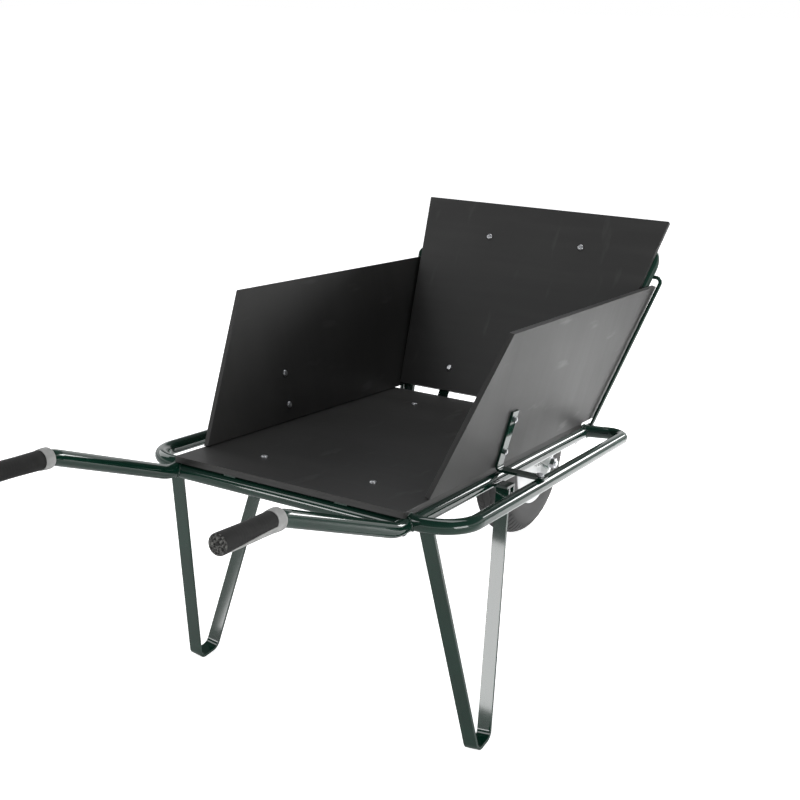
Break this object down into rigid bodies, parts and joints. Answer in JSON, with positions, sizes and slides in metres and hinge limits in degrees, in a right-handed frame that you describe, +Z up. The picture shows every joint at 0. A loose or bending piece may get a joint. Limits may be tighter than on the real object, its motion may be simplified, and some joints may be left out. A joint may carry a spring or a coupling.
{
  "type": "wheelbarrow",
  "caption": "Wheelbarrow with a board box on a bent tube frame, lift-off side boards, flat bar legs and a pneumatic front wheel.",
  "frame": {"origin": "centre of the bounding box's footprint, on the ground", "axes": "+X to the operator's right along the axle, +Y forward from the grips to the wheel, +Z up"},
  "size_m": [0.712, 1.685, 0.8286],
  "materials": {
    "board": "black phenolic film on plywood, fine wire texture",
    "frame_paint": "glossy dark green",
    "zinc": "bright zinc plating",
    "bearing_steel": "ground and greased",
    "rim_paint": "light grey gloss",
    "tyre": "matt black",
    "inner_tube": "smooth black",
    "grip": "matt black",
    "grip_collar": "soft grey",
    "black_plastic": "satin black"
  },
  "bodies": {
    "frame": {"axle": "zinc", "axle_nuts": "zinc", "axle_washers": "zinc", "bail_rod": "frame_paint", "base_board": "board", "base_bolts": "zinc", "base_nuts": "zinc", "front_cross_tube": "frame_paint", "head_board": "board", "head_bolts": "zinc", "head_hoop": "frame_paint", "head_nuts": "zinc", "left_axle_spacer": "zinc", "left_fork_eye": "frame_paint", "left_fork_tube": "frame_paint", "left_grip": "grip", "left_grip_collar": "grip_collar", "left_guard_tube": "frame_paint", "left_leg": "frame_paint", "left_leg_tab": "frame_paint", "left_main_tube": "frame_paint", "left_rail_plug": "black_plastic", "left_strap": "frame_paint", "middle_cross_tube": "frame_paint", "rear_cross_tube": "frame_paint", "right_axle_spacer": "zinc", "right_fork_eye": "frame_paint", "right_fork_tube": "frame_paint", "right_grip": "grip", "right_grip_collar": "grip_collar", "right_guard_tube": "frame_paint", "right_leg": "frame_paint", "right_leg_tab": "frame_paint", "right_main_tube": "frame_paint", "right_rail_plug": "black_plastic", "right_strap": "frame_paint"},
    "wheel": {"tyre": "tyre", "inner_tube": "inner_tube", "hub": "rim_paint", "rim_bolts": "zinc", "rim_nuts": "zinc", "valve_stem": "inner_tube", "valve_cap": "black_plastic", "left_rim_half": "rim_paint", "left_bearing_cage": "black_plastic", "left_bearing_rollers": "bearing_steel", "right_rim_half": "rim_paint", "right_bearing_cage": "black_plastic", "right_bearing_rollers": "bearing_steel"},
    "left_side": {"left_side_board": "board", "left_board_bracket": "frame_paint", "left_bracket_peg": "zinc", "left_board_bolts": "zinc", "left_board_nuts": "zinc"},
    "right_side": {"right_side_board": "board", "right_board_bracket": "frame_paint", "right_bracket_peg": "zinc", "right_board_bolts": "zinc", "right_board_nuts": "zinc"}
  },
  "joints": [
    {"name": "wheel_spin", "type": "hinge", "parent": "frame", "child": "wheel", "pos_m": [0, 0.6425, 0.2], "axis": [1, 0, 0], "continuous": true},
    {"name": "right_side_lift", "type": "slide", "parent": "frame", "child": "right_side", "axis": [0.1482, -0.604, 0.7831], "range_m": [0, 0.3]},
    {"name": "left_side_lift", "type": "slide", "parent": "frame", "child": "left_side", "axis": [-0.1482, -0.604, 0.7831], "range_m": [0, 0.3]}
  ]
}
